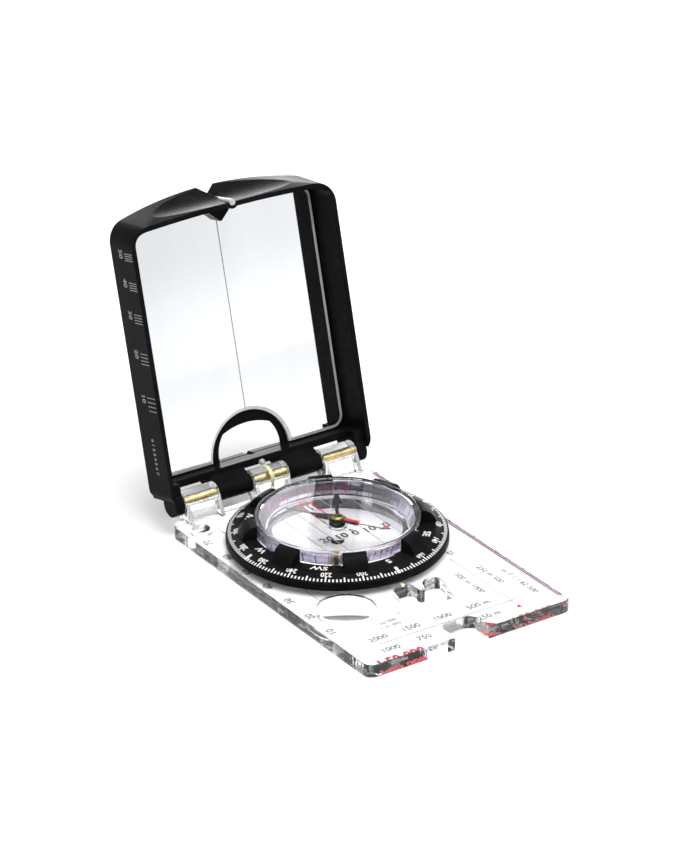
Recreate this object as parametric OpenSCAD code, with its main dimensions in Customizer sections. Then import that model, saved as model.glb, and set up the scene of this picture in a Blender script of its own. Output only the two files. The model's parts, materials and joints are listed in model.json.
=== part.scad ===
// Sighting compass with a clear baseplate and a flip-up mirror lid.
// Origin: dial axis on the underside of the baseplate. +X right, +Y toward the hinge, +Z up.
// The lid is drawn open at lid_open degrees. Its own frame is x, v (along the lid from the
// hinge) and w (out of the mirror face).

/* [Baseplate] */
// width of the clear baseplate
plate_w = 64.4; // [62:0.2:65]
// distance from the dial axis to the front edge
plate_front = 62.3; // [58:0.5:70]
// distance from the dial axis to the back edge
plate_back = 33.2; // [32.8:0.1:33.4]
// thickness of the baseplate
plate_t = 3.66; // [3.4:0.02:3.8]
// corner radius of the baseplate
plate_corner_r = 2.6; // [1:0.2:4]
// width of the finger notch in the front edge
notch_w = 10.6; // [8:0.2:14]
// depth of the finger notch in the front edge
notch_d = 7.8; // [4:0.2:9]
// radius of the marking hole beside the hinge
marking_r = 2.5; // [1.5:0.1:2.6]
// radius of the magnifying lens
lens_r = 7.8; // [6:0.1:7.9]
// height of the lens dome above its edge
lens_dome = 1.3; // [0.6:0.1:1.6]

/* [Hinge] */
// height of the hinge pin above the underside
hinge_z = 8.13; // [8:0.05:8.3]
// distance from the dial axis to the hinge pin
hinge_y = 35.04; // [34.9:0.02:35.3]
// radius of the hinge pin
pin_r = 1.0; // [0.8:0.05:1.2]
// radius of the clear knuckles
clear_knuckle_r = 3.3; // [2.8:0.05:3.4]
// radius of the lid's knuckles
lid_knuckle_r = 2.65; // [2.3:0.05:2.8]

/* [Dial] */
// outer radius of the graduated dial
dial_r = 30.14; // [29.6:0.02:30.4]
// inner radius of the dial, which holds the capsule
dial_bore_r = 22.6; // [22.5:0.05:22.8]
// radius of the dial skirt that turns in the baseplate
skirt_r = 24.55; // [24:0.05:24.55]
// width of one grip lug
lug_w = 6.3; // [4:0.1:7]
// height of the lug tops above the underside
lug_top = 11.5; // [10.5:0.05:11.6]

/* [Capsule] */
// outer radius of the capsule
capsule_r = 22.45; // [22:0.05:22.45]
// height of the capsule rim above the underside
capsule_top = 11.57; // [11.3:0.01:11.7]
// height of the printed orienting plate's upper face
orient_z = 7.3; // [7.2:0.02:7.4]
// length of one half of the needle
needle_len = 15.6; // [12:0.1:17]
// bearing the needle's north end points to, clockwise from the hinge
needle_bearing = 148; // [0:1:359]
// bearing the clinometer pointer hangs toward, clockwise from the hinge
clino_bearing = 33; // [0:1:359]

/* [Lid] */
// angle the lid stands open from closed
lid_open = 104; // [0:1:165]
// overall width of the lid
lid_w = 65; // [64.6:0.1:65.4]
// distance from the hinge pin to the lid's outer edge at the back
lid_len = 81.5; // [80.5:0.1:82.5]
// distance from the hinge pin to the outside of the rim
rim_v = 78.0; // [77.7:0.1:78.2]
// thickness of the lid's side walls
lid_wall = 1.25; // [1.1:0.05:1.4]
// half-width of the sighting window
window_r = 9.9; // [9:0.1:10.2]
// radius of the mirror's cut-out round the window
cutout_r = 12.5; // [12:0.1:13]

/* [Hidden] */
$fn = 96;
half_w = plate_w / 2;
half_lid = lid_w / 2;
dial_gap = 0.2;
hole_r = skirt_r + 0.05;
recess_r = 26.7;
recess_h = 1.3;
retainer_r = 26.4;
marking_x = -26.9;
marking_y = 26.2;
lens_x = -19.4;
lens_y = -33.2;
lens_edge = 3.1;
lens_ball_r = (lens_r * lens_r + lens_dome * lens_dome) / (2 * lens_dome);
bore_base = pin_r + 0.03;
bore_lid = pin_r + 0.05;
outer_knuckle = [17.1, 28.0];
lid_knuckle = [5.9, 16.8];
centre_knuckle = 5.6;
gear_az = 214.5;
gear_orbit = 19.95;
gear_r = 1.15;
orient_r = 18.75;
cup_in = 21.3;
mirror_w = -6.0;
mirror_t = 1.2;
floor_w = mirror_w - mirror_t - 0.03;
rim_w = 4.17;
back_w = -9.9;
crown_r = 252;
back_end_r = 128;
rim_end_r = 450;
sweep_r = 29.3;
sill_v = 5.8;
ear_r = 3.3;
ear = [28.35, 31.2];
sight_v = 78.0;

// ---------- helpers ----------

// bearing: turns its child clockwise from +Y, seen from above
module bearing(deg) { rotate([0, 0, -deg]) children(); }

// in_lid: carries lid-frame children to the lid's open position
module in_lid() {
    translate([0, hinge_y, hinge_z]) rotate([180 - lid_open, 0, 0]) children();
}

// x_rod: a round bar along X centred on the origin
module x_rod(r, x0, x1) { translate([x0, 0, 0]) rotate([0, 90, 0]) cylinder(r = r, h = x1 - x0); }

// rounded_slab: a flat slab with four rounded corners
module rounded_slab(x0, y0, x1, y1, r, h) {
    translate([x0 + r, y0, 0]) cube([x1 - x0 - 2 * r, y1 - y0, h]);
    translate([x0, y0 + r, 0]) cube([x1 - x0, y1 - y0 - 2 * r, h]);
    for (x = [x0 + r, x1 - r], y = [y0 + r, y1 - r]) translate([x, y, 0]) cylinder(r = r, h = h);
}

// ---------- base ----------

// knuckle_block: one clear knuckle with its web and end ribs, whose front feet stand at y = foot
module knuckle_block(x0, x1, foot) {
    translate([0, hinge_y, hinge_z]) x_rod(clear_knuckle_r, x0, x1);
    translate([x0, 0, 0]) rotate([90, 0, 90]) linear_extrude(x1 - x0)
        polygon([[31.6, 2.2], [plate_back - 0.3, 0.7], [hinge_y + 2.6, hinge_z - 2.0],
            [hinge_y, hinge_z], [hinge_y - 2.9, hinge_z - 1.5]]);
    for (x = [x0, x1 - 1.1]) translate([x, 0, 0]) rotate([90, 0, 90]) linear_extrude(1.1)
        polygon([[foot - 0.1, plate_t - 0.5], [foot, plate_t + 0.2], [hinge_y - 2.8, hinge_z + 1.6],
            [hinge_y, hinge_z], [hinge_y, 4.4], [plate_back - 1, 2.2]]);
}

// lanyard_opening: outline of the cord slot
module lanyard_opening() {
    linear_extrude(plate_t + 2) polygon([[-8.1, -44.2], [-7.4, -44.6], [6.4, -44.6], [7.2, -44.0],
        [7.7, -42.3], [7.5, -40.4], [8.6, -39.0], [9.6, -36.6], [10.0, -33.6], [9.2, -32.3],
        [6.4, -31.9], [4.6, -33.2], [3.2, -36.4], [2.4, -36.7], [1.9, -36.2], [1.7, -32.6],
        [0.9, -31.5], [-2.9, -31.4], [-4.1, -32.6], [-4.9, -36.2], [-6.4, -38.2], [-8.3, -40.6],
        [-8.7, -42.6]]);
}

module baseplate() {
    color([0.93, 0.95, 0.96, 0.35]) difference() {
        union() {
            rounded_slab(-half_w, -plate_front, half_w, plate_back, plate_corner_r, plate_t);
            knuckle_block(-outer_knuckle[1], -outer_knuckle[0], 29.1);
            knuckle_block(-centre_knuckle, centre_knuckle, 30.5);
            knuckle_block(outer_knuckle[0], outer_knuckle[1], 29.1);
            translate([marking_x, marking_y, 0]) cylinder(r = marking_r + 1.5, h = plate_t + 0.15);
        }
        // dial seat and the ledge that the retaining ring turns under
        translate([0, 0, -1]) cylinder(r = hole_r, h = plate_t + 2);
        translate([0, 0, -1]) cylinder(r = recess_r, h = recess_h + 1);
        // finger notch
        translate([-notch_w / 2, -plate_front - 5, -1])
            rounded_slab(0, 0, notch_w, notch_d + 5, 2.2, plate_t + 2);
        translate([0, 0, -1]) lanyard_opening();
        translate([marking_x, marking_y, -1]) cylinder(r = marking_r, h = plate_t + 3);
        translate([lens_x, lens_y, -1]) cylinder(r = lens_r + 0.02, h = plate_t + 2);
        translate([0, hinge_y, hinge_z]) x_rod(bore_base, -40, 40);
        // groove for the front index
        translate([0, hinge_y, hinge_z]) front_index_blank(0.02);
        // groove for the rear index
        translate([-0.52, -30.92, plate_t - 0.62]) cube([1.04, 5.74, 2]);
    }
}

// front_index_blank: the band let into the centre knuckle, grown by g
module front_index_blank(g) {
    intersection() {
        difference() {
            x_rod(clear_knuckle_r + g, -0.55 - g, 0.55 + g);
            x_rod(clear_knuckle_r - 0.8 - g, -2, 2);
        }
        rotate([45, 0, 0]) translate([-3, -5, 0]) cube([6, 10, 6]);
    }
}

module magnifier_lens() {
    color([0.95, 0.97, 0.98, 0.3]) translate([lens_x, lens_y, 0]) intersection() {
        cylinder(r = lens_r, h = lens_edge + lens_dome + 1);
        translate([0, 0, lens_edge + lens_dome - lens_ball_r]) sphere(r = lens_ball_r);
    }
}

module hinge_pin() {
    color([0.72, 0.62, 0.32]) translate([0, hinge_y, hinge_z])
        x_rod(pin_r, -ear[1] + 1, ear[1] - 1);
}

module front_index() {
    color([0.82, 0.88, 0.5]) translate([0, hinge_y, hinge_z]) front_index_blank(0);
}

module rear_index() {
    color([0.82, 0.88, 0.5]) translate([-0.5, -30.9, plate_t - 0.6]) cube([1, 5.7, 0.6]);
}

// ---------- lid, drawn in its own frame ----------

// arc: points along an arc
function arc(x, y, r, from, to, n) =
    [for (i = [0 : n]) let (a = from + (to - from) * i / n) [x + r * cos(a), y + r * sin(a)]];

// lid_shape: the lid seen square on. top: far end at the middle, end_r: its gentle curve,
// side: half-width, corner: far corners' radius, foot: near end, heel: near corners' radius
function lid_shape(top, end_r, side, corner, foot, heel) =
    let (cx = side - corner,
        cy = top - end_r + sqrt(pow(end_r - corner, 2) - cx * cx),
        turn = atan2(cy - top + end_r, cx))
    concat(arc(side - heel, foot + heel, heel, 270, 360, 10), arc(cx, cy, corner, 0, turn, 20),
        arc(0, top - end_r, end_r, turn, 180 - turn, 40), arc(-cx, cy, corner, 180 - turn, 180, 20),
        arc(heel - side, foot + heel, heel, 180, 270, 10));

// lid_block: tapers from the back's outline to the rim's, both drawn inset by wall
module lid_block(wall, end_wall, corner, over) {
    hull() {
        translate([0, 0, back_w - 1]) linear_extrude(1)
            polygon(lid_shape(lid_len - end_wall, back_end_r, half_lid - wall, 5.8 - wall, wall, 3.8));
        translate([0, 0, rim_w - 0.5]) linear_extrude(0.5 + over)
            polygon(lid_shape(rim_v - end_wall, rim_end_r, half_lid - wall, corner, wall, 3.8));
    }
}

// sweep: the hollow curve of the end wall, deepest at the rim; wall sets it inward
module sweep(wall) {
    translate([-50, rim_v + 0.07 + sweep_r, rim_w]) rotate([0, 90, 0])
        cylinder(r = sweep_r + wall, h = 100, $fn = 360);
}

// window: the flattened arch of the sighting window, its sides spreading toward the back
module window() {
    intersection() {
        translate([0, 6.7, -12]) cylinder(r1 = window_r + 2.86, r2 = window_r - 0.74, h = 6);
        translate([0, -4.9, -12]) cylinder(r = 19.5, h = 6);
        translate([-15, sill_v, -12]) cube([30, 20, 6]);
    }
}

module lid_cover() {
    color([0.09, 0.09, 0.1]) in_lid() difference() {
        union() {
            difference() {
                intersection() {
                    lid_block(0, 0, 6.2, 0);
                    // crowned back
                    translate([0, -5, back_w + crown_r]) rotate([-90, 0, 0])
                        cylinder(r = crown_r, h = 100, $fn = 360);
                }
                sweep(0);
                // pocket behind the mirror and rim
                difference() {
                    intersection() {
                        lid_block(lid_wall, 1.5, 3.2, 1);
                        translate([-50, 5.7, floor_w]) cube([100, 100, 20]);
                    }
                    sweep(1.4);
                }
                // hinge gap between the side walls
                translate([-half_lid + lid_wall, -2, floor_w])
                    cube([lid_w - 2 * lid_wall, 5.7, 20]);
                translate([-half_lid + lid_wall, 3, -1.6]) cube([lid_w - 2 * lid_wall, 3.6, 20]);
                // rounded heel
                translate([-40, 0, 0]) rotate([90, 0, 90]) linear_extrude(80)
                    polygon([[-4, -12], [5.2, -12], [4.6, -9.9], [3.8, -8.7], [3.0, -7.75],
                        [2.2, -7.2], [1.7, -6.5], [1.3, -5.25], [0.95, -2.9], [0.65, -0.3],
                        [0.3, 5], [-4, 5]]);
            }
            // knuckles and their webs
            for (s = [-1, 1]) {
                x0 = s > 0 ? lid_knuckle[0] : -lid_knuckle[1];
                x1 = s > 0 ? lid_knuckle[1] : -lid_knuckle[0];
                x_rod(lid_knuckle_r, x0, x1);
                translate([x0, 0, 0]) rotate([90, 0, 90]) linear_extrude(x1 - x0)
                    polygon([[-0.6, -2.55], [1.8, -7.4], [4.2, -7.4], [4.2, -1.62], [2.4, 0.6],
                        [0, 1.2]]);
            }
            // ears that hold the ends of the hinge pin
            for (s = [-1, 1]) {
                x0 = s > 0 ? ear[0] : -ear[1];
                x_rod(ear_r, x0, x0 + ear[1] - ear[0]);
                translate([s > 0 ? ear[0] : lid_wall / 2 - half_lid, 1.4, -7.4])
                    cube([half_lid - lid_wall / 2 - ear[0], 4.4, 9.6]);
            }
            // clip that holds the mirror's far edge
            translate([0, 0, mirror_w + 0.05]) linear_extrude(2.5)
                polygon([[-5.4, 76.9], [-0.25, 72.1], [0.25, 72.1], [5.4, 76.9], [5.4, 78.3],
                    [-5.4, 78.3]]);
            // socket of the upper sight
            intersection() {
                translate([0, sight_v, -4]) cylinder(r = 1.85, h = rim_w + 4);
                translate([-3, sight_v - 3, -12]) cube([6, 2.9, 20]);
            }
        }
        x_rod(bore_lid, -ear[1] + 0.8, half_lid + 1);
        window();
        translate([0, sill_v, -12]) rotate([0, 0, 45]) cube([1.3, 1.3, 12], center = true);
        // sighting groove and the upper sight's seat
        translate([0, 78.5, -12]) linear_extrude(20)
            polygon([[0, 0], [3.3, 3.6], [-3.3, 3.6]]);
        translate([0, sight_v, -5.5]) cylinder(r = 0.95, h = 12);
        // seat of the lower sight
        translate([0, 4.1, -7.0]) cylinder(r = 0.45, h = 10);
        translate([0, 4.1, -3.9]) cylinder(r1 = 0.45, r2 = 1.15, h = 2.8);
        translate([0, 4.1, -1.2]) cylinder(r = 1.15, h = 4);
    }
}

module mirror() {
    color([0.86, 0.88, 0.9]) in_lid() difference() {
        translate([0, 0, mirror_w - mirror_t])
            rounded_slab(-30.7, 6.1, 30.7, 75.6, 3.6, mirror_t);
        translate([0, 5.7, -10]) cylinder(r = cutout_r, h = 6);
    }
}

module upper_sight() {
    color([0.85, 0.86, 0.84]) in_lid()
        translate([0, sight_v, -5.45]) cylinder(r = 0.9, h = 9.75);
}

module lower_sight() {
    color([0.85, 0.86, 0.84]) in_lid() translate([0, 4.1, -6.95]) {
        cylinder(r = 0.4, h = 3.4);
        translate([0, 0, 3.2]) cylinder(r1 = 0.4, r2 = 0.82, h = 2.0);
        translate([0, 0, 5.6]) sphere(r = 0.9);
    }
}

// ---------- dial ----------

module dial_ring() {
    color([0.07, 0.07, 0.08]) {
        rotate_extrude($fn = 180) polygon([[dial_bore_r, 1.1], [skirt_r, 1.1],
            [skirt_r, plate_t + dial_gap], [dial_r - 0.5, plate_t + dial_gap], [dial_r, 4.4],
            [dial_r, 5.3], [dial_r - 0.12, 6.2], [dial_r - 0.35, 6.42], [26.5, 7.6],
            [26.35, 7.48], [26.15, 7.48], [26.05, 7.7], [dial_bore_r, 7.7]]);
        // grip lugs
        intersection() {
            rotate_extrude($fn = 180) polygon([[dial_bore_r, 7.2], [26.9, 7.2], [26.75, 8.0],
                [26.4, 9.0], [25.8, 9.9], [25.0, 10.7], [24.1, 11.25], [23.3, lug_top - 0.04],
                [dial_bore_r, lug_top]]);
            for (k = [0 : 3]) bearing(22.5 + 45 * k)
                translate([-lug_w / 2, -30, 0]) cube([lug_w, 60, 14]);
        }
    }
}

module retaining_ring() {
    color([0.12, 0.12, 0.13]) rotate_extrude() polygon([[dial_bore_r, 0.25],
        [retainer_r - 0.2, 0.25], [retainer_r, 0.45], [retainer_r, 1.1], [dial_bore_r, 1.1]]);
}

module capsule_seal() {
    color([0.1, 0.1, 0.1]) rotate_extrude($fn = 180)
        polygon([[cup_in + 0.1, 6.86], [capsule_r - 0.1, 6.86], [capsule_r - 0.1, 7.0],
            [cup_in + 0.1, 7.0]]);
}

module capsule_base() {
    color([0.93, 0.95, 0.97, 0.3]) difference() {
        rotate_extrude($fn = 180) polygon([[0, 0], [capsule_r, 0], [capsule_r, 6.86],
            [cup_in, 6.86], [cup_in, 5.85], [18.8, 5.85], [18.7, 6.4], [17.6, 6.4], [17.6, 5.2],
            [19.6, 2.4], [0, 2.4]]);
        bearing(gear_az) translate([0, gear_orbit, 4.5]) cylinder(r = 0.55, h = 3);
    }
}

module capsule_cover() {
    color([0.93, 0.95, 0.97, 0.3]) rotate_extrude($fn = 180) polygon([[0, 10.85],
        [cup_in - 0.5, 10.85], [cup_in, 10.5], [cup_in, 7.0], [capsule_r, 7.0],
        [capsule_r, capsule_top - 0.35], [capsule_r - 0.35, capsule_top],
        [capsule_r - 1.1, capsule_top], [capsule_r - 1.4, capsule_top - 0.2], [0, capsule_top - 0.2]]);
}

module scale_ring() {
    color([0.55, 0.56, 0.6, 0.8]) difference() {
        rotate_extrude($fn = 180) polygon([[19.3, 7.5], [cup_in - 0.05, 7.5],
            [cup_in - 0.05, 10.3], [20.7, 10.3]]);
        bearing(gear_az) translate([0, gear_orbit, 6]) cylinder(r = gear_r + 0.35, h = 6);
    }
}

module pivot_post() {
    color([0.9, 0.92, 0.94, 0.4]) {
        translate([0, 0, 2.4]) cylinder(r = 1.9, h = 5.1);
        translate([0, 0, 7.5]) cylinder(r = 2.7, h = 0.55);
        translate([0, 0, 8.05]) cylinder(r = 1.2, h = 0.75);
        translate([0, 0, 8.6]) cylinder(r = 1.55, h = 0.2);
    }
}

module pivot_pin() {
    color([0.6, 0.61, 0.63]) {
        translate([0, 0, 8.8]) cylinder(r = 0.35, h = 0.85);
        translate([0, 0, 9.65]) cylinder(r1 = 0.35, r2 = 0.05, h = 0.35);
    }
}

// ---------- orienting plate, turned by the declination screw ----------

module orienting_plate() {
    color([0.93, 0.95, 0.97, 0.25]) difference() {
        translate([0, 0, 6.5]) cylinder(r = orient_r, h = orient_z - 6.5, $fn = 180);
        cylinder(r = 1.98, h = 10);
    }
}

module orienting_lines() {
    color([0.75, 0.1, 0.08]) translate([0, 0, orient_z]) {
        for (s = [-1, 1]) translate([s * 1.6 - 0.2, 3.0, 0]) cube([0.4, 12.4, 0.08]);
        linear_extrude(0.08) polygon([[-3.0, 15.3], [0, 18.2], [3.0, 15.3], [2.4, 15.3],
            [0, 17.6], [-2.4, 15.3]]);
    }
}

module north_marks() {
    color([0.8, 0.86, 0.6]) translate([0, 0, orient_z]) for (s = [-1, 1])
        translate([s * 0.8 - 0.35, 11.5, 0]) cube([0.7, 3.4, 0.1]);
}

module declination_screw() {
    color([0.72, 0.6, 0.3]) bearing(gear_az) translate([0, gear_orbit, 0]) difference() {
        union() {
            translate([0, 0, 4.6]) cylinder(r = 0.5, h = 1.4);
            translate([0, 0, 6.0]) cylinder(r = gear_r, h = 1.35);
            translate([0, 0, 7.35]) cylinder(r = gear_r - 0.1, h = 2.5);
        }
        translate([-2, -0.15, 9.4]) cube([4, 0.3, 1]);
    }
}

module clinometer_pointer() {
    color([0.05, 0.05, 0.06]) bearing(clino_bearing) translate([0, 0, 8.2]) difference() {
        union() {
            cylinder(r = 2.3, h = 0.3);
            translate([-0.45, 1.9, 0]) cube([0.9, 14.4, 0.3]);
            linear_extrude(0.3) polygon([[-1.5, 11.6], [1.5, 11.6], [0.4, 17.2], [-0.4, 17.2]]);
        }
        translate([0, 0, -1]) cylinder(r = 1.26, h = 3);
    }
}

// ---------- needle ----------

module needle_blade() {
    color([0.1, 0.1, 0.11]) bearing(needle_bearing) translate([0, 0, 9.72]) difference() {
        linear_extrude(0.2) polygon([[-0.65, 1.5], [0.65, 1.5], [0.65, needle_len - 2.2],
            [1.15, needle_len - 2.2], [0, needle_len], [-1.15, needle_len - 2.2],
            [-0.65, needle_len - 2.2]]);
        translate([0, 0, -1]) cylinder(r = 1.2, h = 3);
    }
    color([0.1, 0.1, 0.11]) bearing(needle_bearing) translate([0, 0, 9.72]) difference() {
        linear_extrude(0.2) polygon([[-0.65, 1.6], [-1.9, -1.2], [-0.45, -6.6], [-0.2, -needle_len],
            [0.2, -needle_len], [0.45, -6.6], [1.9, -1.2], [0.65, 1.6]]);
        translate([0, 0, -1]) cylinder(r = 1.2, h = 3);
    }
}

module needle_magnet() {
    color([0.3, 0.3, 0.32]) bearing(needle_bearing) translate([0, 0, 9.1]) difference() {
        translate([-0.6, -6.2, 0]) cube([1.2, 12.4, 0.6]);
        translate([0, 0, -1]) cylinder(r = 2.41, h = 3);
    }
}

module needle_hub() {
    color([0.08, 0.08, 0.08]) translate([0, 0, 9.1]) difference() {
        cylinder(r = 2.4, h = 0.6);
        translate([0, 0, -1]) cylinder(r = 1.75, h = 3);
    }
}

module needle_cap() {
    color([0.55, 0.5, 0.22]) difference() {
        union() {
            translate([0, 0, 9.1]) cylinder(r = 1.73, h = 0.6);
            translate([0, 0, 9.7]) cylinder(r = 1.18, h = 0.22);
            translate([0, 0, 9.92]) cylinder(r = 1.73, h = 0.4);
            translate([0, 0, 10.32]) cylinder(r1 = 1.73, r2 = 1.2, h = 0.25);
        }
        translate([0, 0, 9]) cylinder(r = 0.8, h = 1.15);
    }
}

module needle_jewel() {
    color([0.7, 0.1, 0.2, 0.6]) translate([0, 0, 9.62]) difference() {
        cylinder(r = 0.78, h = 0.5);
        translate([0, 0, -0.1]) cylinder(r = 0.45, h = 0.5);
    }
}

module needle_north() {
    color([0.8, 0.08, 0.06]) bearing(needle_bearing) translate([0, 0, 9.94]) linear_extrude(0.1)
        polygon([[-0.6, 1.9], [0.6, 1.9], [0.6, 6.5], [-0.6, 6.5]]);
}

module needle_lume() {
    color([0.92, 0.94, 0.85]) bearing(needle_bearing) translate([-0.6, 6.65, 9.94])
        cube([1.2, 6.7, 0.1]);
}

baseplate();
magnifier_lens();
hinge_pin();
front_index();
rear_index();
lid_cover();
mirror();
upper_sight();
lower_sight();
dial_ring();
retaining_ring();
capsule_base();
capsule_seal();
capsule_cover();
scale_ring();
pivot_post();
pivot_pin();
orienting_plate();
orienting_lines();
north_marks();
declination_screw();
clinometer_pointer();
needle_blade();
needle_magnet();
needle_hub();
needle_cap();
needle_jewel();
needle_north();
needle_lume();
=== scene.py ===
"""Looks for the sighting compass: clear plate, mirror lid, graduated dial and liquid capsule.

Lengths are given in millimetres and turned into metres by MM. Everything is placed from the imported
frame: the dial axis is the origin, +Y points to the hinge and +Z up.
"""

import json
import math

import bmesh
import bpy
from mathutils import Matrix, Vector


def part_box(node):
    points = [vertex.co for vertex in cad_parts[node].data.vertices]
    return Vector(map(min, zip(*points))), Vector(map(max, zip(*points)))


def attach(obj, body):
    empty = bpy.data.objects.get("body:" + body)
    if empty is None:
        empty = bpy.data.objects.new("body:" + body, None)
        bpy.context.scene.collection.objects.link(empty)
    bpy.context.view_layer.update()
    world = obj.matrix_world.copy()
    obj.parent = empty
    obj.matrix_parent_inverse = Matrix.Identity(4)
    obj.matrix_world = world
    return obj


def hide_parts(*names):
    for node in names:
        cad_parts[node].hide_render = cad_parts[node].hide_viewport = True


MM = 0.001

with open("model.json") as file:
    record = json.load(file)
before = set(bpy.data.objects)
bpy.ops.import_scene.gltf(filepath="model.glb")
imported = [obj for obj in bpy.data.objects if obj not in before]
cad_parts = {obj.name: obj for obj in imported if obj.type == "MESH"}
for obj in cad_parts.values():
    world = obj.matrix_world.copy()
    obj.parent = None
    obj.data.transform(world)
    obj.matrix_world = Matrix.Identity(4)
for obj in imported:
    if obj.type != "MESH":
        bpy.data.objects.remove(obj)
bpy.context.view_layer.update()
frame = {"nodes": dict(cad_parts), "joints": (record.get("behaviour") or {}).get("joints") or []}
nodes = frame["nodes"]
joints = {j["name"]: j for j in frame["joints"]}


# ---------- sizes taken from the frame ----------

def span(node):
    """(low, high) corners of a CAD node in millimetres."""
    low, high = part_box(node)
    return low / MM, high / MM


plate_low, plate_high = span("baseplate")
dial_low, dial_high = span("dial_ring")
DIAL_R = (dial_high.x - dial_low.x) / 2
HALF_W = (plate_high.x - plate_low.x) / 2
PLATE_FRONT = plate_low.y
HINGE = Vector(joints["lid_hinge"]["pos_m"]) / MM
LID_OPEN = math.radians(-joints["lid_hinge"]["range_deg"][0])
HALF_LID = span("lid_cover")[1].x
ORIENT_TOP = span("orienting_plate")[1].z
NEEDLE_TOP = span("needle_blade")[1].z
# the dial's sloping scale band and the flat ring inside it
BAND_OUTER, BAND_OUTER_Z = DIAL_R - 0.35, 6.42
BAND_INNER, BAND_INNER_Z = 26.5, 7.6
RING_TOP = 7.7
# the scale ring round the capsule floor: foot radius, foot height and rise per millimetre outward
SLOPE_FOOT_R, SLOPE_FOOT_Z, SLOPE_RISE = 19.3, 7.5, 2.0
SLOPE_MID_R = 20.0
FLOOR_R = 17.8


def lid_point(x, v, w):
    """Lid frame (across, along from the hinge, out of the mirror) to the row frame, in mm."""
    c, s = math.cos(LID_OPEN), math.sin(LID_OPEN)
    return Vector((x, HINGE.y - c * v - s * w, HINGE.z + s * v - c * w))


def lid_span(node):
    """(low, high) corners of a node in the lid frame (x, v, w), in millimetres."""
    c, s = math.cos(LID_OPEN), math.sin(LID_OPEN)
    away = [vertex.co / MM - HINGE for vertex in nodes[node].data.vertices]
    placed = [(p.x + HINGE.x, s * p.z - c * p.y, -s * p.y - c * p.z) for p in away]
    return Vector(map(min, zip(*placed))), Vector(map(max, zip(*placed)))


def bearing_of(node):
    """Bearing of a node's centre round the dial axis, clockwise from the hinge, in radians."""
    low, high = span(node)
    return math.atan2(low.x + high.x, low.y + high.y) % math.tau


NEEDLE = bearing_of("needle_north")
GEAR_BEARING = math.degrees(bearing_of("declination_screw"))


def band_point(r, turn, lift=0.0):
    """A point on the dial's sloping scale band; turn is clockwise from the hinge, in radians."""
    slope = (BAND_INNER_Z - BAND_OUTER_Z) / (BAND_OUTER - BAND_INNER)
    z = BAND_OUTER_Z + (BAND_OUTER - r) * slope + lift
    return Vector((r * math.sin(turn), r * math.cos(turn), z))


# ---------- materials ----------

def material(name):
    """A new node material and its Principled shader."""
    mat = bpy.data.materials.new(name)
    mat.use_nodes = True
    return mat, mat.node_tree, mat.node_tree.nodes["Principled BSDF"]


def noise(nt, size_mm, detail=4.0, stretch=(1, 1, 1), rough=0.55):
    """Noise in object space whose features are about size_mm across."""
    where = nt.nodes.new("ShaderNodeTexCoord")
    scale = nt.nodes.new("ShaderNodeMapping")
    scale.inputs["Scale"].default_value = [s / (size_mm * MM) for s in stretch]
    tex = nt.nodes.new("ShaderNodeTexNoise")
    tex.inputs["Scale"].default_value = 1.0
    tex.inputs["Detail"].default_value = detail
    tex.inputs["Roughness"].default_value = rough
    nt.links.new(where.outputs["Object"], scale.inputs["Vector"])
    nt.links.new(scale.outputs["Vector"], tex.inputs["Vector"])
    return tex.outputs["Fac"]


def spread(nt, value, low, high, start=0.3, end=0.7):
    """value mapped from start..end onto low..high."""
    m = nt.nodes.new("ShaderNodeMapRange")
    m.inputs["From Min"].default_value = start
    m.inputs["From Max"].default_value = end
    m.inputs["To Min"].default_value = low
    m.inputs["To Max"].default_value = high
    nt.links.new(value, m.inputs["Value"])
    return m.outputs["Result"]


def tint(nt, value, dark, light, start=0.3, end=0.7):
    """A colour ramp driven by value."""
    ramp = nt.nodes.new("ShaderNodeValToRGB")
    ramp.color_ramp.elements[0].position = start
    ramp.color_ramp.elements[1].position = end
    ramp.color_ramp.elements[0].color = (*dark, 1)
    ramp.color_ramp.elements[1].color = (*light, 1)
    nt.links.new(value, ramp.inputs["Fac"])
    return ramp.outputs["Color"]


def highest(nt, a, b):
    """The larger of two values."""
    m = nt.nodes.new("ShaderNodeMath")
    m.operation = "MAXIMUM"
    nt.links.new(a, m.inputs[0])
    nt.links.new(b, m.inputs[1])
    return m.outputs[0]


def relief(nt, height, depth_mm, strength=1.0, edge_mm=0.0):
    """A bump of depth_mm, over edges softened by edge_mm."""
    bump = nt.nodes.new("ShaderNodeBump")
    bump.inputs["Strength"].default_value = strength
    bump.inputs["Distance"].default_value = depth_mm * MM
    nt.links.new(height, bump.inputs["Height"])
    if edge_mm:
        edge = nt.nodes.new("ShaderNodeBevel")
        edge.samples = 4
        edge.inputs["Radius"].default_value = edge_mm * MM
        nt.links.new(edge.outputs["Normal"], bump.inputs["Normal"])
    return bump.outputs["Normal"]


def solid_finish(name, dark, light, rough, grain_mm=0.35, depth_mm=0.012, edge_mm=0.0, metal=0.0,
                 specular=0.5, scratches=0.0, stretch=(1, 1, 1), patch_mm=9.0, ior=1.5):
    """An opaque finish: mottled colour, uneven gloss, fine grain and a few scuffs."""
    mat, nt, bsdf = material(name)
    patch = noise(nt, patch_mm, 5.0)
    grain = noise(nt, grain_mm, 3.0, stretch)
    bsdf.inputs["Metallic"].default_value = metal
    bsdf.inputs["IOR"].default_value = ior
    bsdf.inputs["Specular IOR Level"].default_value = specular
    nt.links.new(tint(nt, patch, dark, light), bsdf.inputs["Base Color"])
    gloss = spread(nt, patch, rough[0], rough[1])
    if scratches:
        scuff = noise(nt, 1.6, 6.0, (1.0, 0.08, 0.35), 0.7)
        gloss = highest(nt, gloss, spread(nt, scuff, rough[0], rough[1] + scratches, 0.62, 0.74))
    nt.links.new(gloss, bsdf.inputs["Roughness"])
    nt.links.new(relief(nt, grain, depth_mm, 0.6, edge_mm), bsdf.inputs["Normal"])
    return mat


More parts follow.
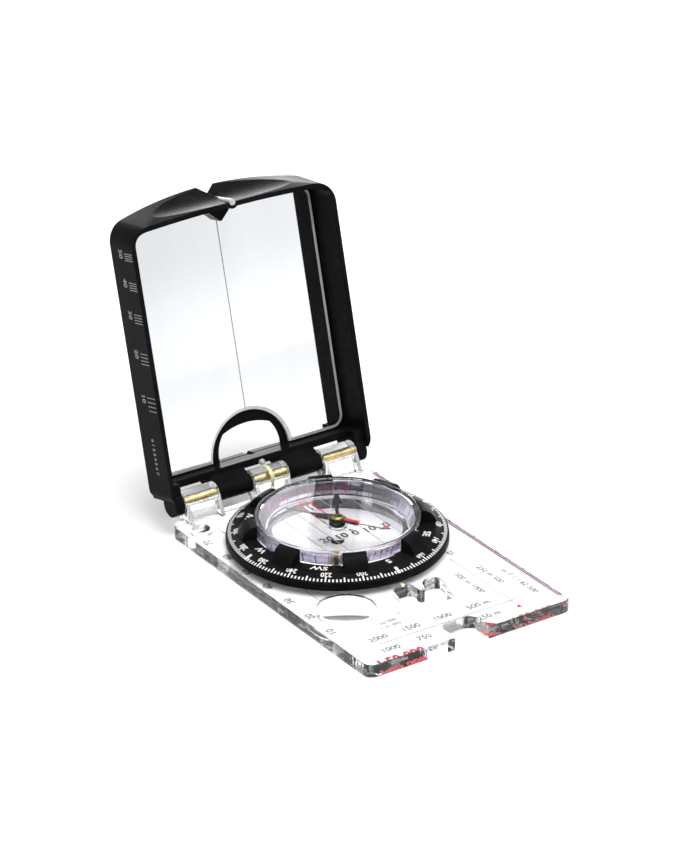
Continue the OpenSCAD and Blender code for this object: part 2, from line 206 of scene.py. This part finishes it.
def clear_finish(name, colour, rough, ripple_mm=0.004, ior=1.49, smear=0.02, side_mm=0.0,
                 edge_mm=0.0):
    """Clear moulded plastic that lets the lamps through; side_mm is the waviness of its edges."""
    mat, nt, bsdf = material(name)
    patch = noise(nt, 14.0, 3.0)
    bsdf.inputs["Base Color"].default_value = (*colour, 1)
    bsdf.inputs["IOR"].default_value = ior
    bsdf.inputs["Transmission Weight"].default_value = 1.0
    nt.links.new(spread(nt, patch, rough, rough + smear), bsdf.inputs["Roughness"])
    height = spread(nt, noise(nt, 6.0, 2.0), 0.0, ripple_mm, 0.0, 1.0)
    if side_mm:
        upright = nt.nodes.new("ShaderNodeSeparateXYZ")
        facing = nt.nodes.new("ShaderNodeNewGeometry")
        nt.links.new(facing.outputs["True Normal"], upright.inputs["Vector"])
        steep = nt.nodes.new("ShaderNodeMath")
        steep.operation = "ABSOLUTE"
        nt.links.new(upright.outputs["Z"], steep.inputs[0])
        on_side = spread(nt, steep.outputs[0], side_mm, 0.0, 0.5, 0.9)
        waves = nt.nodes.new("ShaderNodeMath")
        waves.operation = "MULTIPLY_ADD"
        nt.links.new(noise(nt, 2.6, 3.0, (1.0, 1.0, 0.2)), waves.inputs[0])
        nt.links.new(on_side, waves.inputs[1])
        nt.links.new(height, waves.inputs[2])
        height = waves.outputs[0]
    nt.links.new(relief(nt, height, 1.0, 1.0, edge_mm), bsdf.inputs["Normal"])
    path = nt.nodes.new("ShaderNodeLightPath")
    open_way = nt.nodes.new("ShaderNodeBsdfTransparent")
    open_way.inputs["Color"].default_value = (*[0.5 + c / 2 for c in colour], 1)
    mix = nt.nodes.new("ShaderNodeMixShader")
    out = nt.nodes["Material Output"]
    nt.links.new(path.outputs["Is Shadow Ray"], mix.inputs["Fac"])
    nt.links.new(bsdf.outputs["BSDF"], mix.inputs[1])
    nt.links.new(open_way.outputs["BSDF"], mix.inputs[2])
    nt.links.new(mix.outputs["Shader"], out.inputs["Surface"])
    return mat


acrylic = clear_finish("acrylic", (0.985, 0.99, 0.992), 0.0, 0.004, side_mm=0.4, edge_mm=0.7)
lens_clear = clear_finish("lens_clear", (0.99, 0.995, 1.0), 0.0, 0.001)
capsule_clear = clear_finish("capsule_clear", (0.996, 0.995, 1.0), 0.0, 0.002, side_mm=0.06,
                             edge_mm=0.25)
smoke = clear_finish("smoke", (0.80, 0.75, 0.92), 0.18, 0.004, 1.45, 0.1)
jewel_red = clear_finish("jewel_red", (0.75, 0.10, 0.18), 0.02, 0.001, 1.76)
black_plastic = solid_finish("black_plastic", (0.004, 0.004, 0.0042), (0.008, 0.008, 0.0084),
                             (0.20, 0.30), 0.30, 0.007, 0.4, specular=0.016, scratches=0.12)
dial_black = solid_finish("dial_black", (0.004, 0.004, 0.0042), (0.007, 0.007, 0.0074),
                          (0.32, 0.44), 0.25, 0.008, 0.2, specular=0.03, scratches=0.1)
rubber = solid_finish("rubber", (0.012, 0.012, 0.012), (0.02, 0.02, 0.02), (0.7, 0.85), 0.2, 0.01)
brass = solid_finish("brass", (0.50, 0.38, 0.13), (0.68, 0.54, 0.24), (0.20, 0.36), 0.25, 0.006,
                     0.05, metal=1.0, stretch=(0.1, 1, 1), patch_mm=3.0)
cap_brass = solid_finish("cap_brass", (0.22, 0.19, 0.05), (0.36, 0.31, 0.10), (0.22, 0.4), 0.2,
                         0.006, 0.05, metal=1.0, patch_mm=1.5)
steel = solid_finish("steel", (0.5, 0.5, 0.52), (0.66, 0.66, 0.68), (0.12, 0.25), 0.15, 0.003,
                     0.03, metal=1.0, stretch=(1, 1, 0.1), patch_mm=1.0)
magnet = solid_finish("magnet", (0.07, 0.07, 0.075), (0.13, 0.13, 0.14), (0.35, 0.55), 0.2, 0.01,
                      0.03, metal=0.8, patch_mm=1.5)
needle_black = solid_finish("needle_black", (0.010, 0.010, 0.011), (0.02, 0.02, 0.022),
                            (0.25, 0.38), 0.3, 0.006, 0.03, patch_mm=2.0)
lume = solid_finish("lume", (0.60, 0.66, 0.28), (0.76, 0.80, 0.44), (0.45, 0.6), 0.12, 0.02, 0.04,
                    patch_mm=1.2)
white_plastic = solid_finish("white_plastic", (0.36, 0.37, 0.37), (0.48, 0.49, 0.49),
                             (0.25, 0.4), 0.2, 0.01, 0.05, patch_mm=1.5)
needle_white = solid_finish("needle_white", (0.78, 0.80, 0.68), (0.9, 0.92, 0.82), (0.4, 0.55),
                            0.12, 0.015, 0.02, patch_mm=1.0)
pale_lilac = solid_finish("pale_lilac", (0.55, 0.48, 0.60), (0.68, 0.60, 0.72), (0.45, 0.6), 0.12,
                          0.01, 0.04, patch_mm=1.2)
red_ink = solid_finish("red_ink", (0.42, 0.008, 0.02), (0.58, 0.02, 0.035), (0.4, 0.6), 0.1, 0.004,
                       patch_mm=1.5)
white_ink = solid_finish("white_ink", (0.68, 0.68, 0.67), (0.86, 0.86, 0.85), (0.45, 0.6), 0.1,
                         0.006, patch_mm=1.2)
grey_ink = solid_finish("grey_ink", (0.16, 0.16, 0.17), (0.27, 0.27, 0.28), (0.45, 0.6), 0.1,
                        0.004, patch_mm=1.2)
pale_ink = solid_finish("pale_ink", (0.14, 0.14, 0.14), (0.24, 0.24, 0.24), (0.45, 0.6), 0.1,
                        0.004, patch_mm=1.2)
line_grey = solid_finish("line_grey", (0.24, 0.25, 0.26), (0.34, 0.35, 0.36), (0.4, 0.6), 0.1,
                         0.004, patch_mm=1.2)
dark_ink = solid_finish("dark_ink", (0.03, 0.03, 0.032), (0.06, 0.06, 0.062), (0.45, 0.6), 0.1,
                        0.004, patch_mm=1.2)


def mirror_finish():
    """Silvered glass with faint wiping marks."""
    mat, nt, bsdf = material("mirror_face")
    wipe = noise(nt, 12.0, 5.0, (1.0, 0.25, 0.25), 0.6)
    bsdf.inputs["Metallic"].default_value = 1.0
    silver = tint(nt, wipe, (0.86, 0.88, 0.90), (0.90, 0.915, 0.93))
    nt.links.new(silver, bsdf.inputs["Base Color"])
    nt.links.new(spread(nt, wipe, 0.015, 0.045), bsdf.inputs["Roughness"])
    nt.links.new(relief(nt, noise(nt, 25.0, 2.0), 0.002, 0.3), bsdf.inputs["Normal"])
    return mat


mirror_face = mirror_finish()
mirror_edge = solid_finish("mirror_edge", (0.74, 0.76, 0.78), (0.88, 0.9, 0.92), (0.15, 0.3), 0.3,
                           0.006, metal=0.15, patch_mm=3.0)

for node, mat in {
    "baseplate": acrylic, "magnifier_lens": lens_clear, "hinge_pin": brass, "front_index": lume,
    "rear_index": lume, "lid_cover": black_plastic, "upper_sight": white_plastic,
    "lower_sight": white_plastic, "dial_ring": dial_black, "retaining_ring": black_plastic,
    "capsule_base": capsule_clear, "capsule_seal": rubber, "capsule_cover": capsule_clear,
    "scale_ring": smoke, "pivot_post": capsule_clear, "pivot_pin": steel,
    "orienting_plate": capsule_clear, "orienting_lines": red_ink, "north_marks": pale_lilac,
    "clinometer_pointer": needle_black, "needle_blade": needle_black, "needle_magnet": magnet,
    "needle_hub": needle_black, "needle_cap": cap_brass, "needle_jewel": jewel_red,
    "needle_north": red_ink, "needle_lume": needle_white, "mirror": mirror_face,
    "declination_screw": brass,
}.items():
    if not nodes[node].material_slots:
        nodes[node].data.materials.append(mat)
    for part in nodes[node].material_slots:
        part.material = mat


# ---------- mesh helpers ----------

def piece(name, points_mm, faces, mats, body, face_mats=None, smooth=False):
    """Makes a mesh piece from points in mm in the row frame, riding on a CAD body."""
    mesh = bpy.data.meshes.new(name)
    mesh.from_pydata([tuple(Vector(p) * MM) for p in points_mm], [], faces)
    for m in mats:
        mesh.materials.append(m)
    if face_mats:
        mesh.polygons.foreach_set("material_index", face_mats)
    bm = bmesh.new()
    bm.from_mesh(mesh)
    bmesh.ops.recalc_face_normals(bm, faces=bm.faces)
    bm.to_mesh(mesh)
    bm.free()
    mesh.polygons.foreach_set("use_smooth", [smooth] * len(mesh.polygons))
    mesh.update()
    obj = bpy.data.objects.new(name, mesh)
    bpy.context.scene.collection.objects.link(obj)
    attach(obj, body)
    return obj


class Ink:
    """Collects flat printed shapes, each a thin closed solid let into a surface."""

    def __init__(self, place, rise=0.025, sink=0.03):
        self.place, self.rise, self.sink = place, rise, sink
        self.points, self.faces = [], []

    def add(self, points, faces):
        """points: 2D outline and inner points; faces: index loops, counter-clockwise."""
        base, n = len(self.points), len(points)
        for depth in (self.rise, -self.sink):
            self.points += [self.place(x, y, depth) for x, y in points]
        sides = {}
        for f in faces:
            self.faces.append([base + i for i in f])
            self.faces.append([base + n + i for i in reversed(f)])
            for a, b in zip(f, [*f[1:], f[0]]):
                if (b, a) in sides:
                    del sides[(b, a)]
                else:
                    sides[(a, b)] = True
        for a, b in sides:
            self.faces.append([base + b, base + a, base + n + a, base + n + b])

    def bar(self, x0, y0, x1, y1, steps=1):
        """A rectangle, cut across its width into steps so that it follows a curved surface."""
        xs = [x0 + (x1 - x0) * i / steps for i in range(steps + 1)]
        pts = [(x, y0) for x in xs] + [(x, y1) for x in xs]
        k = steps + 1
        self.add(pts, [[i, i + 1, k + i + 1, k + i] for i in range(steps)])

    def text(self, words, x, y, height, turn=0.0, bold=0.0, squeeze=1.0):
        """Centred lettering whose capitals are height tall, turned by turn radians."""
        pts, faces = glyphs(words, bold)
        scale = height / CAP_HEIGHT
        c, s = math.cos(turn), math.sin(turn)
        placed = []
        for px, py in pts:
            u, v = px * scale * squeeze, (py - CAP_HEIGHT / 2) * scale
            placed.append((x + c * u - s * v, y + s * u + c * v))
        self.add(placed, faces)

    def build(self, name, mat, body, slot):
        return piece(name, self.points, self.faces, [mat], body)


glyph_store = {}
CAP_HEIGHT = 0.7


def glyphs(words, bold):
    """Flat outline mesh of a word in Blender's own typeface, centred in x."""
    key = (words, bold)
    if key not in glyph_store:
        curve = bpy.data.curves.new("word", "FONT")
        curve.body = words
        curve.align_x = "CENTER"
        curve.resolution_u = 2
        curve.offset = bold
        holder = bpy.data.objects.new("word", curve)
        bpy.context.scene.collection.objects.link(holder)
        bpy.context.view_layer.update()
        mesh = bpy.data.meshes.new_from_object(holder.evaluated_get(
            bpy.context.evaluated_depsgraph_get()))
        bm = bmesh.new()
        bm.from_mesh(mesh)
        bmesh.ops.remove_doubles(bm, verts=bm.verts, dist=1e-5)
        bmesh.ops.dissolve_degenerate(bm, edges=bm.edges, dist=1e-5)
        for f in bm.faces:
            if f.normal.z < 0:
                f.normal_flip()
        bm.verts.index_update()
        glyph_store[key] = ([(v.co.x, v.co.y) for v in bm.verts],
                            [[v.index for v in f.verts] for f in bm.faces])
        bm.free()
        bpy.data.objects.remove(holder)
        bpy.data.curves.remove(curve)
        bpy.data.meshes.remove(mesh)
    return glyph_store[key]


def on_slope(turn):
    """Places (x clockwise, y outward) on the capsule's conical scale ring."""
    def place(x, y, depth):
        r, t = SLOPE_MID_R + y, turn + x / SLOPE_MID_R
        z = SLOPE_FOOT_Z + (r - SLOPE_FOOT_R) * SLOPE_RISE + depth
        return Vector((r * math.sin(t) - depth * math.sin(t),
                       r * math.cos(t) - depth * math.cos(t), z))
    return place


# ---------- dial graduations ----------

def on_band(mid_r):
    """Places (x clockwise along the ring, y outward) on the sloping band around radius mid_r."""
    return lambda turn: (lambda x, y, d: band_point(mid_r + y, turn + x / mid_r, d))


def on_ring(mid_r):
    """Places (x clockwise, y outward) on the flat ring inside the scale band."""
    return lambda turn: (lambda x, y, d: Vector((
        (mid_r + y) * math.sin(turn + x / mid_r), (mid_r + y) * math.cos(turn + x / mid_r),
        RING_TOP + d)))


ticks = Ink(None)
for deg in range(0, 360, 2):
    ticks.place = on_band(28.8)(math.radians(deg))
    cardinal, ten = deg % 90 == 0, deg % 10 == 0
    half = 0.45 if cardinal else 0.2
    inner = -1.45 if cardinal else (-0.75 if ten else -0.15)
    ticks.bar(-half, inner, half, 0.72)
ticks.build("dial_ticks", white_ink, "dial", "dial_black")

numbers = Ink(None)
for deg in range(0, 360, 20):
    if deg % 90:
        numbers.place = on_band(27.25)(math.radians(deg))
        numbers.text(str(deg), 0, 0, 1.4, bold=0.015, squeeze=1.0)
numbers.build("dial_numbers", white_ink, "dial", "dial_black")

letters = Ink(None)
for deg, word in {0: "N", 45: "NE", 90: "E", 135: "SE", 180: "S", 225: "SW", 270: "W",
                  315: "NW"}.items():
    letters.place = on_ring(24.4)(math.radians(deg))
    letters.text(word, 0, 0, 1.95, bold=0.015, squeeze=1.1)
letters.build("dial_letters", white_ink, "dial", "dial_black")


# ---------- capsule floor, capsule ring and needle ----------

def on_floor(x, y, depth):
    """On top of the orienting plate, the capsule's floor."""
    return Vector((x, y, ORIENT_TOP + depth))


meridians = Ink(on_floor)
for x in (-10.1, -5.0, 5.0, 12.2):
    half = math.sqrt(FLOOR_R ** 2 - x * x)
    meridians.bar(x - 0.12, -half, x + 0.12, half)
meridians.build("meridians", grey_ink, "orienting", "black_plastic")

scale_words = Ink(on_floor)
for word, x in (("20", -6.6), ("10", -2.2), ("0", 2.0), ("10", 6.2), ("20", 10.4)):
    scale_words.text(word, x, -5.4 - 0.1 * x, 2.6, bold=0.03, squeeze=1.05)
scale_words.build("declination_words", dark_ink, "orienting", "black_plastic")

red_floor = Ink(on_floor)
red_floor.add([(1.1, -3.9), (2.5, -3.9), (1.8, -2.9)], [[0, 1, 2]])
red_floor.build("red_arrowhead", red_ink, "orienting", "red_print")

tip = Ink(lambda x, y, d: Matrix.Rotation(-NEEDLE, 4, "Z") @ Vector((x, y, NEEDLE_TOP + d)), 0.03,
          0.02)
tip.add([(-1.0, 13.5), (1.0, 13.5), (0, 15.4)], [[0, 1, 2]])
tip.build("needle_tip", red_ink, "needle", "red_print")

ring_marks, ring_greys = Ink(None), Ink(None)
for deg in range(-40, 41, 5):
    for centre in (0, 180):
        if abs(centre + deg - GEAR_BEARING) < 2.5:
            continue
        ring_marks.place = on_slope(math.radians(centre + deg))
        ring_marks.bar(-0.11, -0.2 if deg % 10 else -0.7, 0.11, 0.3)
for deg in range(50, 131, 10):
    for centre in (0, 180):
        ring_greys.place = on_slope(math.radians(centre + deg))
        ring_greys.bar(-0.15, -0.7, 0.15, 0.3)
ring_marks.build("declination_ticks", red_ink, "dial", "red_print")
ring_greys.build("clinometer_ticks", dark_ink, "dial", "black_plastic")


# ---------- baseplate print, on the underside ----------

def under_plate(x, y, depth):
    """On the plate's underside, the raised face of the print pointing up into the plate."""
    return Vector((x, y, 0.02 - depth))


RULER_ZERO = -49.4
SIXTEENTH_INCH = 1.5875

scales = Ink(under_plate)
for word, x in {"2000": -20.2, "1500": -10.0, "1000": -0.1, "500 m": 11.4}.items():
    scales.text(word, x, PLATE_FRONT + 13.4, 2.1, bold=0.03, squeeze=0.95)
for word, x in {"1000": -20.6, "750": -10.2, "250 m": 10.4}.items():
    scales.text(word, x, PLATE_FRONT + 7.1, 2.1, bold=0.03, squeeze=0.95)
scales.text("1:50 000", -13.8, -43.0, 1.3, bold=0.02)
scales.text("1:25 000", -13.8, -45.2, 1.3, bold=0.02)
for ten in range(1, 8):
    scales.text(str(ten * 10), -28.3, RULER_ZERO + 10 * ten, 2.2, turn=math.pi / 2, bold=0.03)
for word, x, y in (("500 m 1000", 16.6, -38.0), ("250 m 500", 23.9, -37.2),
                   ("m 0.1 1:62 500", 28.2, -44.5), ("25", 22.2, -21.3), ("0 mm 10", 28.2, -6.0)):
    scales.text(word, x, y, 1.8, turn=-math.pi / 2, bold=0.025)
scales.build("plate_numbers", grey_ink, "base", "black_plastic")

rules = Ink(under_plate)
for mm in range(0, 78):
    length = 2.2 if mm % 10 == 0 else (1.6 if mm % 5 == 0 else 1.0)
    rules.bar(-HALF_W + 0.5, RULER_ZERO + mm - 0.11, -HALF_W + 0.5 + length,
              RULER_ZERO + mm + 0.11)
for k in range(0, 46):
    length = 3.0 if k % 5 == 0 else 1.7
    rules.bar(HALF_W - 0.9 - length, -54.0 + SIXTEENTH_INCH * k - 0.11, HALF_W - 0.9,
              -53.89 + SIXTEENTH_INCH * k)
for mm in range(0, 43):
    rules.bar(-21.1 + mm, -51.9, -20.9 + mm, -51.3 if mm % 5 else -50.6)
rules.bar(-21.1, -52.05, 21.1, -51.85)
rules.bar(-21.6, -25.1, -21.4, -16.4)
rules.bar(-21.6, 16.4, -21.4, 31.0)
rules.bar(19.9, -56.5, 20.1, -24.0)
rules.bar(HALF_W - 0.42, -57.0, HALF_W - 0.12, 30.0)
rules.build("plate_rules", pale_ink, "base", "black_plastic")

red_print = Ink(under_plate)
red_print.text("1:50 000", -20.8, PLATE_FRONT + 2.1, 3.1, bold=0.05, squeeze=0.95)
red_print.text("1:25 000", 20.3, PLATE_FRONT + 1.7, 2.4, bold=0.012, squeeze=1.1)
red_print.add([(18.8, -56.2), (20.6, -56.2), (19.7, -54.9)], [[0, 1, 2]])
red_print.add([(5.7, -60.4), (9.9, -60.4), (5.8, -55.9)], [[0, 1, 2]])
red_print.bar(-HALF_W + 0.3, -38.0, -HALF_W + 0.5, 20.0)
red_print.bar(HALF_W - 0.62, -57.0, HALF_W - 0.46, 30.0)
red_print.build("plate_red", red_ink, "base", "red_print")


# ---------- lid: side scale and mirror ----------

def on_lid_side(w, v, depth):
    """Seen from the left with the rim to the right: v runs up the wall and w toward the rim."""
    return lid_point(-HALF_LID - depth, v, w)


side_scale = Ink(on_lid_side)
for group, (low, height) in enumerate(((27.1, 3.7), (40.2, 2.9), (51.6, 2.3), (60.7, 2.0),
                                       (68.9, 1.8))):
    gap = height / 3
    for k in range(4):
        side_scale.bar(-0.6, low + gap * k - 0.12, 3.5, low + gap * k + 0.12)
    side_scale.text(str(10 * (group + 1)), -2.6, low + gap * 2.6, 1.8, turn=-math.pi / 2,
                    bold=0.025)
side_scale.text("0 1 2 3 4 5 6 7", -1.4, 14.0, 1.2, turn=-math.pi / 2, bold=0.03)
side_scale.build("lid_side_scale", pale_ink, "lid", "black_plastic")


mirror_low, mirror_high = lid_span("mirror")
MIRROR_CORNER, CUTOUT_R, CUTOUT_BELOW = 3.6, 12.5, 0.4


def mirror_outline(inset, arc=24, bend=8):
    """The mirror's edge in lid coordinates (x, v), drawn inset from its full size."""
    half, corner = mirror_high.x - inset, MIRROR_CORNER - inset
    low, high = mirror_low.y + inset, mirror_high.y - inset
    cut, cut_v = CUTOUT_R + inset, mirror_low.y - CUTOUT_BELOW
    start = math.asin((low - cut_v) / cut)
    pts = [(cut * math.cos(t), cut_v + cut * math.sin(t))
           for t in [math.pi - start - (math.pi - 2 * start) * i / arc for i in range(arc + 1)]]
    for cx, cy, t0 in ((half - corner, low + corner, -90), (half - corner, high - corner, 0),
                       (corner - half, high - corner, 90), (corner - half, low + corner, 180)):
        turns = [math.radians(t0 + 90 * i / bend) for i in range(bend + 1)]
        pts += [(cx + corner * math.cos(t), cy + corner * math.sin(t)) for t in turns]
    return pts


def build_mirror():
    """The bevelled glass, standing in for the plain CAD slab of the same outline."""
    face_w, back_w, bevel, drop = mirror_high.z, mirror_low.z, 0.95, 0.35
    loops = [[lid_point(x, v, w) for x, v in mirror_outline(inset)] for inset, w in
             ((0.0, back_w), (0.0, face_w - drop), (bevel * 0.55, face_w - drop * 0.45),
              (bevel, face_w))]
    n = len(loops[0])
    points = [p for loop in loops for p in loop]
    faces, mats = [[n * 3 + i for i in range(n)], [i for i in reversed(range(n))]], [0, 2]
    for k in range(3):
        for i in range(n):
            j = (i + 1) % n
            faces.append([n * k + i, n * k + j, n * (k + 1) + j, n * (k + 1) + i])
            mats.append(1)
    glass = piece("mirror_glass", points, faces, [mirror_face, mirror_edge, rubber], "lid",
                  mats)
    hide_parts("mirror")


build_mirror()
sight_line = Ink(lambda x, y, d: lid_point(x, y, mirror_high.z + d), 0.02, 0.02)
sight_line.bar(-0.16, mirror_low.y + 12.8, 0.16, mirror_high.y - 1.2)
sight_line.build("sight_line", line_grey, "lid", "mirror_glass")


# ---------- floor, light, camera ----------

def plain_floor():
    """A large sheet of pale paper just under the plate."""
    size = 4.0
    mesh = bpy.data.meshes.new("floor")
    z = -0.05 * MM
    mesh.from_pydata([(-size, -size, z), (size, -size, z), (size, size, z), (-size, size, z)],
                     [], [[0, 1, 2, 3]])
    mat, nt, bsdf = material("floor_paper")
    nt.links.new(tint(nt, noise(nt, 60.0, 3.0), (0.90, 0.90, 0.90), (0.93, 0.93, 0.93)),
                 bsdf.inputs["Base Color"])
    bsdf.inputs["Roughness"].default_value = 0.9
    bsdf.inputs["Specular IOR Level"].default_value = 0.1
    mesh.materials.append(mat)
    floor = bpy.data.objects.new("floor", mesh)
    bpy.context.scene.collection.objects.link(floor)


def lamp(name, at, aim, size, watts, colour=(1, 1, 1)):
    """A round soft light pointed at a target."""
    data = bpy.data.lights.new(name, "AREA")
    data.shape = "DISK"
    data.size = size
    data.energy = watts
    data.color = colour
    obj = bpy.data.objects.new(name, data)
    obj.location = at
    obj.rotation_mode = "QUATERNION"
    obj.rotation_quaternion = (Vector(aim) - Vector(at)).to_track_quat("-Z", "Y")
    bpy.context.scene.collection.objects.link(obj)


def sky_ramp(nt, along, start, end, low, high):
    """low..high as the sky direction's component along a vector goes from start to end."""
    way = nt.nodes.new("ShaderNodeTexCoord")
    dot = nt.nodes.new("ShaderNodeVectorMath")
    dot.operation = "DOT_PRODUCT"
    dot.inputs[1].default_value = along
    nt.links.new(way.outputs["Generated"], dot.inputs[0])
    m = nt.nodes.new("ShaderNodeMapRange")
    m.interpolation_type = "SMOOTHSTEP"
    m.inputs["From Min"].default_value, m.inputs["From Max"].default_value = start, end
    m.inputs["To Min"].default_value, m.inputs["To Max"].default_value = low, high
    nt.links.new(dot.outputs["Value"], m.inputs["Value"])
    return m.outputs["Result"]


def product(nt, a, b):
    """Two values multiplied."""
    m = nt.nodes.new("ShaderNodeMath")
    m.operation = "MULTIPLY"
    nt.links.new(a, m.inputs[0])
    nt.links.new(b, m.inputs[1])
    return m.outputs[0]


def studio():
    """Pale floor, a bright overhead sky, a bright skyline and one soft key light."""
    plain_floor()
    world = bpy.data.worlds.new("studio")
    world.use_nodes = True
    nt = world.node_tree
    back = nt.nodes["Background"]
    overhead = sky_ramp(nt, (0.05, -0.1, 1.0), 0.45, 0.97, 0.42, 1.8)
    front = sky_ramp(nt, (0.498, -0.866, 0.0), 0.55, 0.9, 0.0, 1.0)
    pale = sky_ramp(nt, (1.0, 0.0, -0.35), 0.43, 0.50, 0.83, 1.0)
    behind = sky_ramp(nt, (0.498, 0.867, 0.0), 0.8, 0.96, 0.9, 7.0)
    low_down = sky_ramp(nt, (0.0, 0.0, 1.0), 0.36, 0.12, 0.0, 1.0)
    skyline = sky_ramp(nt, (0.0, 0.0, 1.0), 0.024, 0.0, 1.0, 1.22)
    mirror_side = product(nt, product(nt, front, pale), skyline)
    horizon = product(nt, behind, low_down)
    total = highest(nt, highest(nt, overhead, mirror_side), horizon)
    nt.links.new(total, back.inputs["Strength"])
    back.inputs["Color"].default_value = (0.995, 0.997, 1.0, 1)
    bpy.context.scene.world = world
    lamp("key", (0.1, -0.15, 1.1), (0, 0, 0), 0.8, 7.5)


# camera position in metres, its angles, and its lens in millimetres
CAMERA_AT = (-0.49768, -0.75202, 0.47426)
CAMERA_TURN = math.radians(-33.556)
CAMERA_RISE = math.radians(25.822)
CAMERA_ROLL = math.radians(-0.509)
FOCAL = 160.15


def camera():
    """A long lens in front and to the left, a little above the compass."""
    a, e = CAMERA_TURN, CAMERA_RISE
    back = Vector((math.sin(a) * math.cos(e), -math.cos(a) * math.cos(e), math.sin(e)))
    right = Vector((math.cos(a), math.sin(a), 0))
    up = back.cross(right)
    r = right * math.cos(CAMERA_ROLL) + up * math.sin(CAMERA_ROLL)
    u = up * math.cos(CAMERA_ROLL) - right * math.sin(CAMERA_ROLL)
    data = bpy.data.cameras.new("camera")
    data.sensor_width = 36.0
    data.lens = FOCAL
    data.clip_start, data.clip_end = 0.05, 20.0
    obj = bpy.data.objects.new("camera", data)
    obj.matrix_world = Matrix((
        (r.x, u.x, back.x, CAMERA_AT[0]), (r.y, u.y, back.y, CAMERA_AT[1]),
        (r.z, u.z, back.z, CAMERA_AT[2]), (0, 0, 0, 1)))
    bpy.context.scene.collection.objects.link(obj)
    bpy.context.scene.camera = obj


studio()
camera()
scene = bpy.context.scene
scene.view_settings.view_transform = "Standard"
scene.cycles.use_denoising = True
scene.cycles.max_bounces = 24
scene.cycles.transmission_bounces = 20
scene.cycles.transparent_max_bounces = 24
scene.cycles.caustics_reflective = False
